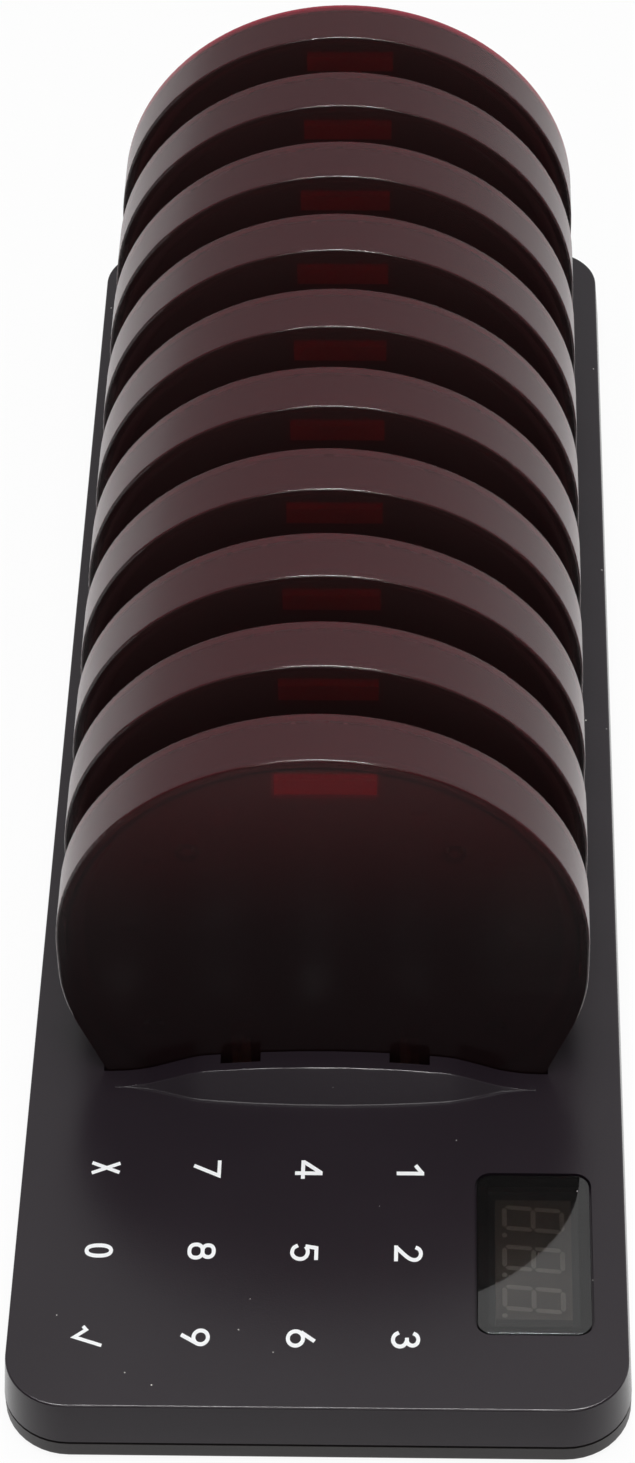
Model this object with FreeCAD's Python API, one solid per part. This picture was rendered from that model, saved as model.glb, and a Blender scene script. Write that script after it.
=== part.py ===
import FreeCAD, Part
import math
import os

# Guest pager system: a charging base with a touch keypad and a row of disc-shaped pagers.
# Frame: origin at the centre of the base's footprint, on the surface it stands on.
# +X is to the right of a person at the keypad, +Y runs back along the row of pagers, +Z is up.
# All sizes are in millimetres.

# ---- guest pagers ----------------------------------------------------------------------------------
pager_count = 10
pager_pitch = 26.05
pager_radius = 55.0             # upper half of the disc
pager_thickness = 13.5
pager_side_radius = 50.0        # rounder lower flanks, which run into straight tapers
pager_side_drop = 7.0           # straight stretch below the widest line
pager_taper_deg = 20.0
pager_corner_radius = 5.0
pager_centre_height = 38.4      # widest line, above the base's top surface
pager_lean_deg = 1.75
pager_edge_round = 0.5
pager_front_wall = 1.6
pager_side_wall = 2.0
pager_cover_thickness = 1.6
pager_cover_ledge = 1.0         # width of the step in the rim that the rear cover sits on
pager_cover_gap = 0.1
pager_pad_lift = 0.4            # pad above the inside of the pager's bottom

# ---- base casing -----------------------------------------------------------------------------------
base_height = 15.8              # underside to top surface, feet not counted
base_corner_radius = 12.5       # of the top surface
base_side_flare = 0.9           # how far the sloped walls stand out at the joint between the halves
base_end_flare = 1.25
keypad_length = 85.5            # front edge to the first pager
rear_length = 23.55             # last pager to the rear edge, room for the inlet and the switch
side_channel = 11.4             # room for the screw bosses beside the slots
side_wall = 2.2
top_wall = 2.4
floor_wall = 2.0
top_edge_round = 0.4
bottom_edge_round = 0.8
seam_height = 5.0               # underside to the joint between the two halves
seam_groove = 0.7
tongue_height = 1.5             # lip of the bottom half inside the top half
tongue_wall = 1.2
tongue_gap = 0.15

# ---- slots -----------------------------------------------------------------------------------------
slot_face_clearance = 0.3
slot_side_clearance = 0.4
slot_wall = 1.6
pager_seat_gap = 0.1

# ---- ridge in front of each slot -------------------------------------------------------------------
ridge_height = 6.9              # in the middle
ridge_arch_radius = 200.0       # of the crest, seen from the front
ridge_half_length = 44.5
ridge_fall_start = 25.5         # from the middle to where the ends begin to run out
ridge_end_height = 0.12
ridge_crest_reach = 4.65        # crest line, in front of the pager
ridge_slope_deg = 54.6          # front slope, from the level
ridge_root = 1.0                # depth of the ridge's root inside the skin
ridge_stations = 16             # cross-sections from the middle to each end
ridge_crest_round = 0.35
ridge_toe_round = 1.0
ridge_toe_sink = 0.05           # share of the toe's rounding that ends inside the skin

# ---- charging contacts -----------------------------------------------------------------------------
contact_x = 17.85
contact_width = 4.0
contact_thickness = 0.3
contact_gap = 0.3
contact_back_gap = 0.3          # between the leaf and the back of its notch
contact_foot_gap = 0.1
contact_bow_half = 0.7
contact_tip = 3.2               # above the base's top surface
notch_width = 8.5
notch_depth = 2.8
contact_slit_depth = 1.6
contact_pad_height = 5.5
contact_strip_top = 10.0
contact_strip_thickness = 0.4

# ---- circuit boards --------------------------------------------------------------------------------
board_thickness = 1.6
board_edge_gap = 1.2
charging_peg_height = 1.2
charging_board_headroom = 0.93
charging_board_half_width = 30.0
charging_screw_inset = 4.0
board_spacing = 4.0             # between the two boards
control_peg_height = 2.3
control_board_margin = 8.5      # from the top surface's side edges
control_board_front = 8.0       # from the base's front edge
control_board_rear = 72.5
peg_radius = 3.0
board_screw_radius = 1.1
board_screw_head_radius = 2.0
board_screw_head_height = 1.2
screw_bore_gap = 0.05
slot_drive_reach = 1.3          # half length of the slot in a small screw's head
slot_drive_half_width = 0.25

# ---- housing screws and feet -----------------------------------------------------------------------
boss_front_inset = 10.0
boss_keypad_inset = 7.5         # in front of the first pager
boss_rear_inset = 11.0
boss_row_shares = (0.3, 0.62)   # along the row of slots
boss_radius = 3.5
boss_wall_gap = 0.8
pillar_radius = 4.2
pillar_height = 2.0
housing_screw_radius = 1.5
housing_screw_length = 10.0
housing_screw_head_radius = 2.75
housing_screw_head_height = 1.6
housing_screw_recess = 1.7
cross_reach = 1.8               # half length of the cross in the head
cross_half_width = 0.3
foot_radius = 6.0
foot_proud = 1.0
foot_recess = 0.8
foot_inset = 14.5
foot_end_inset = 28.0

# ---- display ---------------------------------------------------------------------------------------
window_x = 43.7
window_y = 38.5                 # from the base's front edge
window_width = 23.2
window_length = 39.9
window_corner_radius = 3.0
window_thickness = 1.6
window_edge_round = 0.2
window_sink = 0.15
window_gap = 0.45
window_ledge = 2.4
window_frame_depth = 1.0
module_width = 15.6
module_length = 30.0
module_face_depth = 2.9         # below the base's top surface
digit_count = 3
digit_height = 11.85            # between the middles of the top and bottom segments
digit_width = 5.3
digit_pitch = 10.05
digit_slant_deg = 5.0
segment_width = 1.0
segment_gap = 0.18
segment_thickness = 0.3
segment_proud = 0.05
point_radius = 0.55

# ---- keypad ----------------------------------------------------------------------------------------
key_columns = 4
key_rows = 3
key_first_x = 18.1
key_pitch_x = 21.1
key_first_y = 16.85             # from the base's front edge
key_pitch_y = 21.25
touch_pad_size = 12.0

# ---- rear sockets ----------------------------------------------------------------------------------
socket_gap = 0.3                # between the sockets and the bottom half's tongue
inlet_x = -20.0
inlet_size = 8.3
inlet_axis_lift = 0.25          # axis above the middle of the block
inlet_depth = 12.0
inlet_nose_radius = 3.6
inlet_nose_gap = 0.15
inlet_bore_radius = 2.85
inlet_bore_depth = 9.5
inlet_pin_radius = 1.0
inlet_pin_recess = 1.5
switch_x = 20.0
switch_width = 14.0
switch_depth = 5.5
switch_height = 7.0
switch_travel = 3.0
switch_back_wall = 1.5
slider_width = 4.0
slider_height = 3.2
slider_gap = 0.3
slider_recess = 0.5
grip_groove_pitch = 1.1
grip_groove_half_width = 0.2
grip_groove_depth = 0.4

# ---- pieces on the control board -------------------------------------------------------------------
# Sizes of moulded blocks are (x, y, z), and their places are from the base's front edge.
main_chip_size = (7.0, 7.0, 1.2)
main_chip_y = 34.5
crystal_size = (5.0, 2.0, 1.5)
crystal_y = 41.5
touch_chip_size = (4.0, 3.0, 1.1)
touch_chip_offset = 6.5
beeper_radius = 4.6
beeper_height = 5.5
beeper_hole_radius = 1.0
beeper_y = 14.85
radio_board_size = (18.0, 10.4, 0.8)
radio_can_size = (13.0, 8.4, 1.8)
radio_offset_x = 6.0
radio_offset_y = 7.0
cable_width = 12.0
cable_thickness = 0.4
cable_connector_size = (15.0, 4.0, 2.2)
cable_margin = 2.5              # between a connector and the edge of its board
antenna_radius = 0.8
antenna_inset = 3.0
antenna_length = 165.0
antenna_bend_radius = 4.0
antenna_height = 6.2            # above the control board

# ---- pager works -----------------------------------------------------------------------------------
pager_board_thickness = 1.2
pager_board_front = 5.5         # from the pager's front face
pager_board_inset = 5.5
pager_boss_radius = 2.6
pager_screw_radius = 1.0
pager_screw_head_radius = 1.9
pager_screw_head_height = 1.4
pager_screw_recess = 2.0
pager_screw_length = 8.0
pager_upper_screw = (27.0, 66.0)
pager_lower_screw = (36.0, 13.0)
light_window_width = 20.3
light_window_height = 3.9
light_window_x = 1.3
light_window_middle = 84.8      # above the base's top surface
light_window_depth = 2.2
led_size = 3.5
led_height = 1.6
led_ring_radius = 40.0
led_ring_angles = (0, 30, 60, 120, 150, 180)
battery_width = 34.0
battery_height = 48.0
battery_thickness = 4.2
battery_middle = 31.0
battery_edge_round = 1.5
motor_radius = 2.2
motor_length = 10.0
motor_end_x = -24.0
motor_z = 24.0
motor_shaft_radius = 0.4
motor_shaft_gap = 0.04
motor_shaft_seat = 2.0
shaft_end_share = 0.1           # of the bearing's depth, left free behind the shaft
motor_board_gap = 0.3
cradle_wall = 0.6
cradle_end_inset = 1.5
weight_radius = 2.1
weight_hub_radius = 1.0
weight_length = 3.5
weight_end_gap = 0.6
weight_shaft_end = 0.3
buzzer_radius = 6.5
buzzer_height = 3.4
buzzer_x = 28.0
buzzer_z = 26.0
# Blocks on the pager's board: width along X, thickness, height, then the place of the middle.
pager_chip = (7.0, 1.2, 7.0, 0.0, 63.5)
pager_radio_can = (12.0, 1.8, 10.0, 14.0, 73.0)
pager_crystal = (5.0, 1.5, 2.0, -11.5, 63.0)

# ---- sizes worked out from the driving ones --------------------------------------------------------
V = FreeCAD.Vector
cut_overrun = 1.0               # how far a cutting tool runs past the face it opens
smallest_corner = 0.8           # corners of inner outlines are never sharper than this
taper = math.radians(pager_taper_deg)
lean_angle = math.radians(pager_lean_deg)
lean_drop = (pager_thickness + slot_face_clearance + slot_wall) * math.sin(lean_angle)
underside_z = foot_proud
floor_z = underside_z + floor_wall
seam_z = underside_z + seam_height
top_z = underside_z + base_height
ceiling_z = top_z - top_wall
charging_board_z = floor_z + charging_peg_height
charging_board_top = charging_board_z + board_thickness
control_board_z = floor_z + control_peg_height
control_board_top = control_board_z + board_thickness
slot_depth = top_z - charging_board_top - charging_board_headroom - slot_wall - lean_drop
pager_bottom = -(slot_depth - pager_seat_gap)
side_axis_x = pager_radius - pager_side_radius
side_axis_z = pager_centre_height - pager_side_drop
pager_board_rear = pager_board_front + pager_board_thickness
pager_cover_front = pager_thickness - pager_cover_thickness
motor_y = pager_board_rear + motor_board_gap + motor_radius


def taper_x(outset, z):
    """Half width of the pager's straight lower flank at a height, grown outwards by outset."""
    start_x = side_axis_x + pager_side_radius * math.cos(taper)
    start_z = side_axis_z - pager_side_radius * math.sin(taper)
    return start_x - (start_z - z) * math.tan(taper) + outset / math.cos(taper)


base_width = 2 * (taper_x(slot_side_clearance + slot_wall, 0) + side_channel + side_wall)
base_length = keypad_length + (pager_count - 1) * pager_pitch + pager_thickness + rear_length
front_y = -base_length / 2
rear_y = base_length / 2
boss_x = base_width / 2 - side_wall - tongue_gap - tongue_wall - boss_wall_gap - boss_radius


def slot_y(index):
    """Where the front face of a pager meets the base's top surface."""
    return front_y + keypad_length + index * pager_pitch


# ---- general shapes --------------------------------------------------------------------------------
def box(x0, x1, y0, y1, z0, z1):
    return Part.makeBox(x1 - x0, y1 - y0, z1 - z0, V(x0, y0, z0))


def post(radius, x, y, z0, z1):
    return Part.makeCylinder(radius, z1 - z0, V(x, y, z0))


def rod(radius, x, z, y0, y1):
    return Part.makeCylinder(radius, y1 - y0, V(x, y0, z), V(0, 1, 0))


def cross_rod(radius, y, z, x0, x1):
    return Part.makeCylinder(radius, x1 - x0, V(x0, y, z), V(1, 0, 0))


def edges_at(shape, axis, level):
    """Edges of a shape that lie in the plane where the named axis is at level."""
    found = []
    for edge in shape.Edges:
        bounds = edge.BoundBox
        low = getattr(bounds, axis + "Min")
        high = getattr(bounds, axis + "Max")
        if abs(low - level) < 0.001 and abs(high - level) < 0.001:
            found.append(edge)
    return found


def rounded_block(x, y, width, length, radius, z0, z1):
    """Upright block centred on x, y, with its four upright edges rounded."""
    block = box(x - width / 2, x + width / 2, y - length / 2, y + length / 2, z0, z1)
    upright = [edge for edge in block.Edges if edge.BoundBox.ZLength > (z1 - z0) / 2]
    return block.makeFillet(radius, upright)


def base_block(inset, z0, z1):
    """The outline of the base's top surface, pulled in by inset, as an upright block."""
    radius = max(base_corner_radius - inset, smallest_corner)
    return rounded_block(0, 0, base_width - 2 * inset, base_length - 2 * inset, radius, z0, z1)


def seam_block(inset, z0, z1):
    """The base's outline at the joint between the halves, pulled in by inset, as an upright block."""
    width = base_width + 2 * (base_side_flare - inset)
    length = base_length + 2 * (base_end_flare - inset)
    return rounded_block(0, 0, width, length, base_corner_radius + base_end_flare - inset, z0, z1)


def lowest_outline(block):
    """The outline of a block's underside, as a closed wire."""
    lowest = min(block.Faces, key=lambda face: face.BoundBox.ZMax)
    return lowest.OuterWire


def rear_skin_y(z):
    """Outside of the sloped rear wall at a height above the joint."""
    return rear_y + base_end_flare * (top_z - z) / (top_z - seam_z)


def prism(points, x0, x1):
    """Straight-sided outline of (y, z) points, extruded along X."""
    corners = [V(x0, y, z) for y, z in points]
    outline = Part.makePolygon(corners + [corners[0]])
    return Part.Face(outline).extrude(V(x1 - x0, 0, 0))


def lean(shape, index):
    """Carries a shape from the upright pager frame to its place in a slot."""
    placed = shape.copy()
    placed.rotate(V(0, 0, 0), V(1, 0, 0), -pager_lean_deg)
    placed.translate(V(0, slot_y(index), top_z))
    return placed


def save(name, solids):
    """Writes one sub-part, a single solid or a group of them."""
    shape = Part.makeCompound(solids) if isinstance(solids, list) else solids
    shape.exportStep(os.path.join("parts", name + ".step"))


# ---- the pager's outline ---------------------------------------------------------------------------
# The pager frame is upright: x across, y from the front face to the back, z above the base's top.
def pager_prism(inset, y0, y1, bottom):
    """The pager's D-shaped outline, pulled in by inset and cut off flat at bottom, as a slab."""
    upper = pager_radius - inset
    flank = pager_side_radius - inset
    corner = max(pager_corner_radius - inset, smallest_corner)
    start = V(side_axis_x + flank * math.cos(taper), y0, side_axis_z - flank * math.sin(taper))
    corner_z = bottom + corner
    corner_x = taper_x(-inset, corner_z) - corner / math.cos(taper)
    corner_axis = V(corner_x, y0, corner_z)
    half_turn = (taper + math.pi / 2) / 2

    def around(axis, radius, angle):
        return V(axis.x + radius * math.cos(angle), y0, axis.z - radius * math.sin(angle))

    flank_axis = V(side_axis_x, y0, side_axis_z)
    foot = V(corner_x, y0, bottom)
    corner_end = around(corner_axis, corner, taper)
    side_low = V(upper, y0, side_axis_z)
    side_high = V(upper, y0, pager_centre_height)
    right = [
        Part.Arc(foot, around(corner_axis, corner, half_turn), corner_end).toShape(),
        Part.LineSegment(corner_end, start).toShape(),
        Part.Arc(start, around(flank_axis, flank, taper / 2), side_low).toShape(),
        Part.LineSegment(side_low, side_high).toShape(),
    ]
    left = [edge.mirror(V(0, 0, 0), V(1, 0, 0)) for edge in right]
    crown = V(0, y0, pager_centre_height + upper)
    mirrored_high = V(-upper, y0, pager_centre_height)
    mirrored_foot = V(-corner_x, y0, bottom)
    top = Part.Arc(side_high, crown, mirrored_high).toShape()
    base = Part.LineSegment(mirrored_foot, foot).toShape()
    outline = Part.Wire(Part.__sortEdges__(right + left + [top, base]))
    return Part.Face(outline).extrude(V(0, y1 - y0, 0))


def screw_places():
    """The four screws of a pager, as (x, z) in the pager frame."""
    places = []
    for x, z in (pager_upper_screw, pager_lower_screw):
        places += [(-x, z), (x, z)]
    return places


# ---- base shells -----------------------------------------------------------------------------------
def smooth_fall(distance, flat, end):
    """1 over the flat stretch, easing down to 0 at the end."""
    t = min(max((distance - flat) / (end - flat), 0.0), 1.0)
    return 1 - t * t * (3 - 2 * t)


def ridge_section(x):
    """Outline of the ridge at a place along it: rounded toe, front slope, rounded crest, level top."""
    arch = ridge_height - ridge_arch_radius + math.sqrt(ridge_arch_radius ** 2 - x * x)
    fall = smooth_fall(abs(x), ridge_fall_start, ridge_half_length)
    height = ridge_end_height + (arch - ridge_end_height) * fall
    slope = math.radians(ridge_slope_deg)
    toe_y = -ridge_crest_reach - height / math.tan(slope)
    toe_round = min(ridge_toe_round, height)
    crest_round = min(ridge_crest_round, height / 2)
    sink = toe_round * ridge_toe_sink

    def around(centre_y, centre_z, radius, angle):
        return V(x, centre_y + radius * math.sin(angle), centre_z + radius * math.cos(angle))

    toe_axis = (toe_y - toe_round * math.tan(slope / 2) - sink / math.tan(slope), toe_round - sink)
    crest_axis = (-ridge_crest_reach + crest_round * math.tan(slope / 2), height - crest_round)
    toe = [around(*toe_axis, toe_round, math.pi - angle) for angle in (0, slope / 2, slope)]
    crest = [around(*crest_axis, crest_round, -angle) for angle in (slope, slope / 2, 0)]
    front_root = V(x, toe[0].y, -ridge_root)
    rear_top = V(x, slot_wall, height)
    rear_root = V(x, slot_wall, -ridge_root)
    return Part.Wire([
        Part.LineSegment(front_root, toe[0]).toShape(),
        Part.Arc(*toe).toShape(),
        Part.LineSegment(toe[-1], crest[0]).toShape(),
        Part.Arc(*crest).toShape(),
        Part.LineSegment(crest[-1], rear_top).toShape(),
        Part.LineSegment(rear_top, rear_root).toShape(),
        Part.LineSegment(rear_root, front_root).toShape(),
    ])


def ridge(index):
    """Raised support in front of a slot: an arched bar that runs out at both ends."""
    places = [ridge_half_length * step / ridge_stations for step in range(-ridge_stations, ridge_stations + 1)]
    solid = Part.makeLoft([ridge_section(x) for x in places], True, False)
    solid.translate(V(0, slot_y(index), top_z))
    return solid


def slot_tub(index):
    """Wall and floor of a slot, under the top surface."""
    outset = slot_side_clearance + slot_wall
    front = -slot_face_clearance - slot_wall
    back = pager_thickness + slot_face_clearance + slot_wall
    block = pager_prism(-outset, front, back, -slot_depth - slot_wall)
    reach = pager_radius + outset
    block = block.common(box(-reach, reach, front, back, -slot_depth - slot_wall, -top_wall / 2))
    for side in (-contact_x, contact_x):
        half = notch_width / 2 + slot_wall
        cheek = box(side - half, side + half, -notch_depth - slot_wall, 0,
                    -slot_depth - slot_wall, -top_wall / 2)
        block = block.fuse(cheek)
    return lean(block, index)


def slot_space(index):
    """The hollow a pager stands in, with the two notches for its charging contacts."""
    above = ridge_height + cut_overrun
    back = pager_thickness + slot_face_clearance
    space = pager_prism(-slot_side_clearance, -slot_face_clearance, back, -slot_depth)
    reach = pager_radius
    space = space.common(box(-reach, reach, -slot_face_clearance, back, -slot_depth, above))
    for side in (-contact_x, contact_x):
        half = notch_width / 2
        notch = box(side - half, side + half, -notch_depth, 0, -slot_depth, above)
        slit_half = contact_width / 2 + slot_face_clearance
        slit = box(side - slit_half, side + slit_half, -notch_depth, contact_slit_depth - notch_depth,
                   -slot_depth - 2 * slot_wall, -slot_depth)
        space = space.fuse([notch, slit])
    return lean(space, index)


def housing_screw_places():
    """Screws that hold the two halves together, along both sides of the base."""
    ends = [front_y + boss_front_inset, slot_y(0) - boss_keypad_inset, rear_y - boss_rear_inset]
    between = [slot_y(0) + pager_pitch * pager_count * share for share in boss_row_shares]
    return [(side, y) for y in ends + between for side in (-boss_x, boss_x)]


def foot_places():
    x = base_width / 2 - foot_inset
    y = base_length / 2 - foot_end_inset
    return [(side, level) for level in (-y, 0, y) for side in (-x, x)]


def base_top_shell():
    """Upper half: skin, walls, slots, ridges, screw bosses and the display's recess."""
    outlines = [lowest_outline(seam_block(0, seam_z, top_z)),
                lowest_outline(base_block(0, top_z, top_z + cut_overrun))]
    outer = Part.makeLoft(outlines, True, True)
    outer = outer.makeFillet(top_edge_round, edges_at(outer, "Z", top_z))
    shell = outer.cut(base_block(side_wall, seam_z - cut_overrun, ceiling_z))
    window_middle = front_y + window_y
    frame_width = window_width + 2 * (window_gap + slot_wall)
    frame_length = window_length + 2 * (window_gap + slot_wall)
    added = [rounded_block(window_x, window_middle, frame_width, frame_length, window_corner_radius,
                           ceiling_z - window_frame_depth, ceiling_z + top_wall / 4)]
    for index in range(pager_count):
        added += [slot_tub(index), ridge(index)]
    for x, y in housing_screw_places():
        added.append(post(boss_radius, x, y, floor_z + pillar_height, ceiling_z + top_wall / 4))
    shell = shell.fuse(added)

    removed = [slot_space(index) for index in range(pager_count)]
    for x, y in housing_screw_places():
        bore = housing_screw_radius + screw_bore_gap
        removed.append(post(bore, x, y, floor_z, ceiling_z - cut_overrun))
    removed.append(rounded_block(window_x, window_middle, window_width + 2 * window_gap,
                                 window_length + 2 * window_gap, window_corner_radius + window_gap,
                                 top_z - window_thickness - window_sink, top_z + cut_overrun))
    half_width = window_width / 2 - window_ledge
    half_length = window_length / 2 - window_ledge
    removed.append(box(window_x - half_width, window_x + half_width, window_middle - half_length,
                       window_middle + half_length, control_board_top, top_z))
    inside = rear_y - side_wall - cut_overrun
    outside = rear_y + base_end_flare + cut_overrun
    removed.append(rod(inlet_nose_radius + inlet_nose_gap, inlet_x, inlet_middle_z(), inside, outside))
    removed.append(slider_opening(inside, outside))
    return shell.cut(removed).removeSplitter()


def base_bottom_shell():
    """Lower half: shallow tray with a tongue, screw pillars, board pegs and foot recesses."""
    outer = seam_block(0, underside_z, seam_z)
    outer = outer.makeFillet(bottom_edge_round, edges_at(outer, "Z", underside_z))
    groove = seam_block(0, seam_z - seam_groove, seam_z)
    groove = groove.cut(seam_block(seam_groove, 0, top_z))
    tray = outer.cut([base_block(side_wall, floor_z, seam_z + cut_overrun), groove])
    tongue_out = side_wall + tongue_gap
    tongue = base_block(tongue_out, floor_z - floor_wall / 4, seam_z + tongue_height)
    tongue = tongue.cut(base_block(tongue_out + tongue_wall, 0, top_z))
    added = [tongue]
    for x, y in housing_screw_places():
        added.append(post(pillar_radius, x, y, floor_z - floor_wall / 4, floor_z + pillar_height))
    for x, y in control_screw_places():
        added.append(post(peg_radius, x, y, floor_z - floor_wall / 4, control_board_z))
    for x, y in charging_screw_places():
        added.append(post(peg_radius, x, y, floor_z - floor_wall / 4, charging_board_z))
    tray = tray.fuse(added)

    removed = []
    for x, y in housing_screw_places():
        removed.append(post(housing_screw_radius + screw_bore_gap, x, y, 0, top_z))
        removed.append(post(housing_screw_head_radius + screw_bore_gap, x, y, 0,
                            underside_z + housing_screw_recess))
    for x, y in control_screw_places():
        removed.append(post(board_screw_radius + screw_bore_gap, x, y, floor_z - floor_wall / 2, top_z))
    for x, y in charging_screw_places():
        removed.append(post(board_screw_radius + screw_bore_gap, x, y, floor_z - floor_wall / 2, top_z))
    for x, y in foot_places():
        removed.append(post(foot_radius + screw_bore_gap, x, y, 0, underside_z + foot_recess))
    for x, width in ((inlet_x, inlet_size), (switch_x, switch_width)):
        half = width / 2 + socket_gap
        removed.append(box(x - half, x + half, rear_y - side_wall - tongue_gap - tongue_wall - socket_gap,
                           rear_y - side_wall, charging_board_top, top_z))
    return tray.cut(removed).removeSplitter()


def housing_screws():
    screws = []
    for x, y in housing_screw_places():
        seat = underside_z + housing_screw_recess
        head = post(housing_screw_head_radius, x, y, seat - housing_screw_head_height, seat)
        for along, across in ((cross_reach, cross_half_width), (cross_half_width, cross_reach)):
            head = head.cut(box(x - along, x + along, y - across, y + across,
                                0, seat - housing_screw_head_height / 2))
        screws.append(head.fuse(post(housing_screw_radius, x, y, seat, seat + housing_screw_length)))
    return screws


def rubber_feet():
    feet = []
    for x, y in foot_places():
        foot = post(foot_radius, x, y, 0, underside_z + foot_recess)
        feet.append(foot.makeFillet(foot_proud / 3, edges_at(foot, "Z", 0)))
    return feet


# ---- display ---------------------------------------------------------------------------------------
def display_window():
    """Smoked pane set just below the surface of the top shell."""
    pane_top = top_z - window_sink
    pane = rounded_block(window_x, front_y + window_y, window_width, window_length,
                         window_corner_radius, pane_top - window_thickness, pane_top)
    return pane.makeFillet(window_edge_round, edges_at(pane, "Z", pane_top))


def digit_middle_y(digit):
    return front_y + window_y + digit_pitch * ((digit_count - 1) / 2 - digit)


def segment_bar(across, up, length, upright):
    """One six-sided segment in a digit's own frame: across is the reading direction, up its height."""
    half = length / 2
    width = segment_width / 2
    bar = [(-half, 0), (width - half, width), (half - width, width),
           (half, 0), (half - width, -width), (width - half, -width)]
    if upright:
        bar = [(b, a) for a, b in bar]
    return [(across + a, up + b) for a, b in bar]


def digit_outlines():
    """The seven segments of one digit, slanted, as lists of (across, up) points."""
    long_side = digit_height / 2 - 2 * segment_gap
    short_side = digit_width - 2 * segment_gap
    bars = [segment_bar(0, level * digit_height / 2, short_side, False) for level in (-1, 0, 1)]
    for across in (-digit_width / 2, digit_width / 2):
        for up in (-digit_height / 4, digit_height / 4):
            bars.append(segment_bar(across, up, long_side, True))
    shear = math.tan(math.radians(digit_slant_deg))
    return [[(a + shear * b, b) for a, b in bar] for bar in bars]


def segment_solids(growth):
    """Segments and decimal points of all digits, standing in the module's face."""
    face_z = top_z - module_face_depth
    low = face_z - segment_thickness
    solids = []
    for digit in range(digit_count):
        middle = digit_middle_y(digit)
        for bar in digit_outlines():
            corners = [V(window_x + up, middle - across, low) for across, up in bar]
            face = Part.Face(Part.makePolygon(corners + [corners[0]]))
            solids.append(face.extrude(V(0, 0, segment_thickness + growth)))
        point_x = window_x - digit_height / 2
        point_y = middle - digit_width / 2 - segment_width - 2 * segment_gap
        solids.append(post(point_radius, point_x, point_y, low, face_z + growth))
    return solids


def display_module():
    """Three-digit module: a moulded block whose face has pockets for the segments."""
    face_z = top_z - module_face_depth
    block = box(window_x - module_width / 2, window_x + module_width / 2,
                front_y + window_y - module_length / 2, front_y + window_y + module_length / 2,
                control_board_top, face_z)
    return block.cut(segment_solids(cut_overrun))


# ---- boards of the base ----------------------------------------------------------------------------
def control_screw_places():
    """Screws of the control board, clear of the touch pads and of the display module."""
    between_x = key_first_x - key_pitch_x / 2
    between_y = front_y + key_first_y + key_pitch_y / 2
    left_x = between_x - 2 * key_pitch_x
    right_x = window_x - module_width / 2 - 2 * peg_radius
    return [(x, between_y + row * key_pitch_y) for x in (left_x, between_x, right_x) for row in (0, 1)]


def charging_screw_places():
    """Screws of the charging board, in the gaps between the slots."""
    gap_middle = (pager_thickness - pager_pitch - notch_depth) / 2
    rows = [slot_y(index) + gap_middle for index in (1, pager_count // 2, pager_count - 1)]
    x = charging_board_half_width - charging_screw_inset
    return [(side, y) for y in rows for side in (-x, x)]


def board_screws():
    screws = []
    tops = [(x, y, control_board_top) for x, y in control_screw_places()]
    tops += [(x, y, charging_board_top) for x, y in charging_screw_places()]
    for x, y, seat in tops:
        head = post(board_screw_head_radius, x, y, seat, seat + board_screw_head_height)
        head = head.cut(box(x - slot_drive_reach, x + slot_drive_reach, y - slot_drive_half_width,
                            y + slot_drive_half_width, seat + board_screw_head_height / 2, top_z))
        tip = floor_z - floor_wall / 2 + screw_bore_gap
        screws.append(head.fuse(post(board_screw_radius, x, y, tip, seat)))
    return screws


def control_board():
    """Board under the keypad, cut back around the screw bosses."""
    half = base_width / 2 - control_board_margin
    board = box(-half, half, front_y + control_board_front, front_y + control_board_rear,
                control_board_z, control_board_top)
    bore = board_screw_radius + screw_bore_gap
    holes = [post(bore, x, y, 0, top_z) for x, y in control_screw_places()]
    for x, y in housing_screw_places():
        holes.append(post(pillar_radius + board_edge_gap, x, y, 0, top_z))
    return board.cut(holes)


def charging_board():
    """Long board under the slots, with the inlet and the switch on its rear end."""
    start = front_y + control_board_rear + board_spacing
    end = rear_y - side_wall - tongue_gap - tongue_wall - board_edge_gap
    board = box(-charging_board_half_width, charging_board_half_width, start, end,
                charging_board_z, charging_board_top)
    bore = board_screw_radius + screw_bore_gap
    return board.cut([post(bore, x, y, 0, top_z) for x, y in charging_screw_places()])


def touch_pads():
    """Blocks of conductive foam that carry each touch area down to the board."""
    half = touch_pad_size / 2
    pads = []
    for column in range(key_columns):
        for row in range(key_rows):
            x = key_first_x - column * key_pitch_x
            y = front_y + key_first_y + row * key_pitch_y
            pads.append(box(x - half, x + half, y - half, y + half, control_board_top, ceiling_z))
    return pads


def block_on(size, x, y, z):
    """Block of the given (x, y, z) size, centred on x, y and standing at height z."""
    width, length, height = size
    return box(x - width / 2, x + width / 2, y - length / 2, y + length / 2, z, z + height)


def control_board_parts():
    """Chips, crystal, beeper and cable connector on the control board, and the one at its far end."""
    top = control_board_top
    column_x = (key_first_x + touch_pad_size / 2 + window_x - module_width / 2) / 2
    parts = [block_on(main_chip_size, column_x, front_y + main_chip_y, top)]
    parts.append(block_on(crystal_size, column_x, front_y + crystal_y, top))
    beeper = post(beeper_radius, column_x, front_y + beeper_y, top, top + beeper_height)
    parts.append(beeper.cut(post(beeper_hole_radius, column_x, front_y + beeper_y,
                                 top + beeper_height / 2, top + 2 * beeper_height)))
    chip_row_y = front_y + key_first_y + (key_rows - 1.5) * key_pitch_y
    for column in range(key_columns - 1):
        x = key_first_x - (column + 0.5) * key_pitch_x
        parts.append(block_on(touch_chip_size, x, chip_row_y + touch_chip_offset, top))
    near_middle = front_y + control_board_rear - cable_margin - cable_connector_size[1] / 2
    far_middle = cable_far_y() + cable_connector_size[1] / 2
    parts.append(block_on(cable_connector_size, 0, near_middle, top))
    parts.append(block_on(cable_connector_size, 0, far_middle, charging_board_top))
    return parts


def cable_far_y():
    """Front face of the cable connector on the charging board."""
    return front_y + control_board_rear + board_spacing + cable_margin


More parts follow.
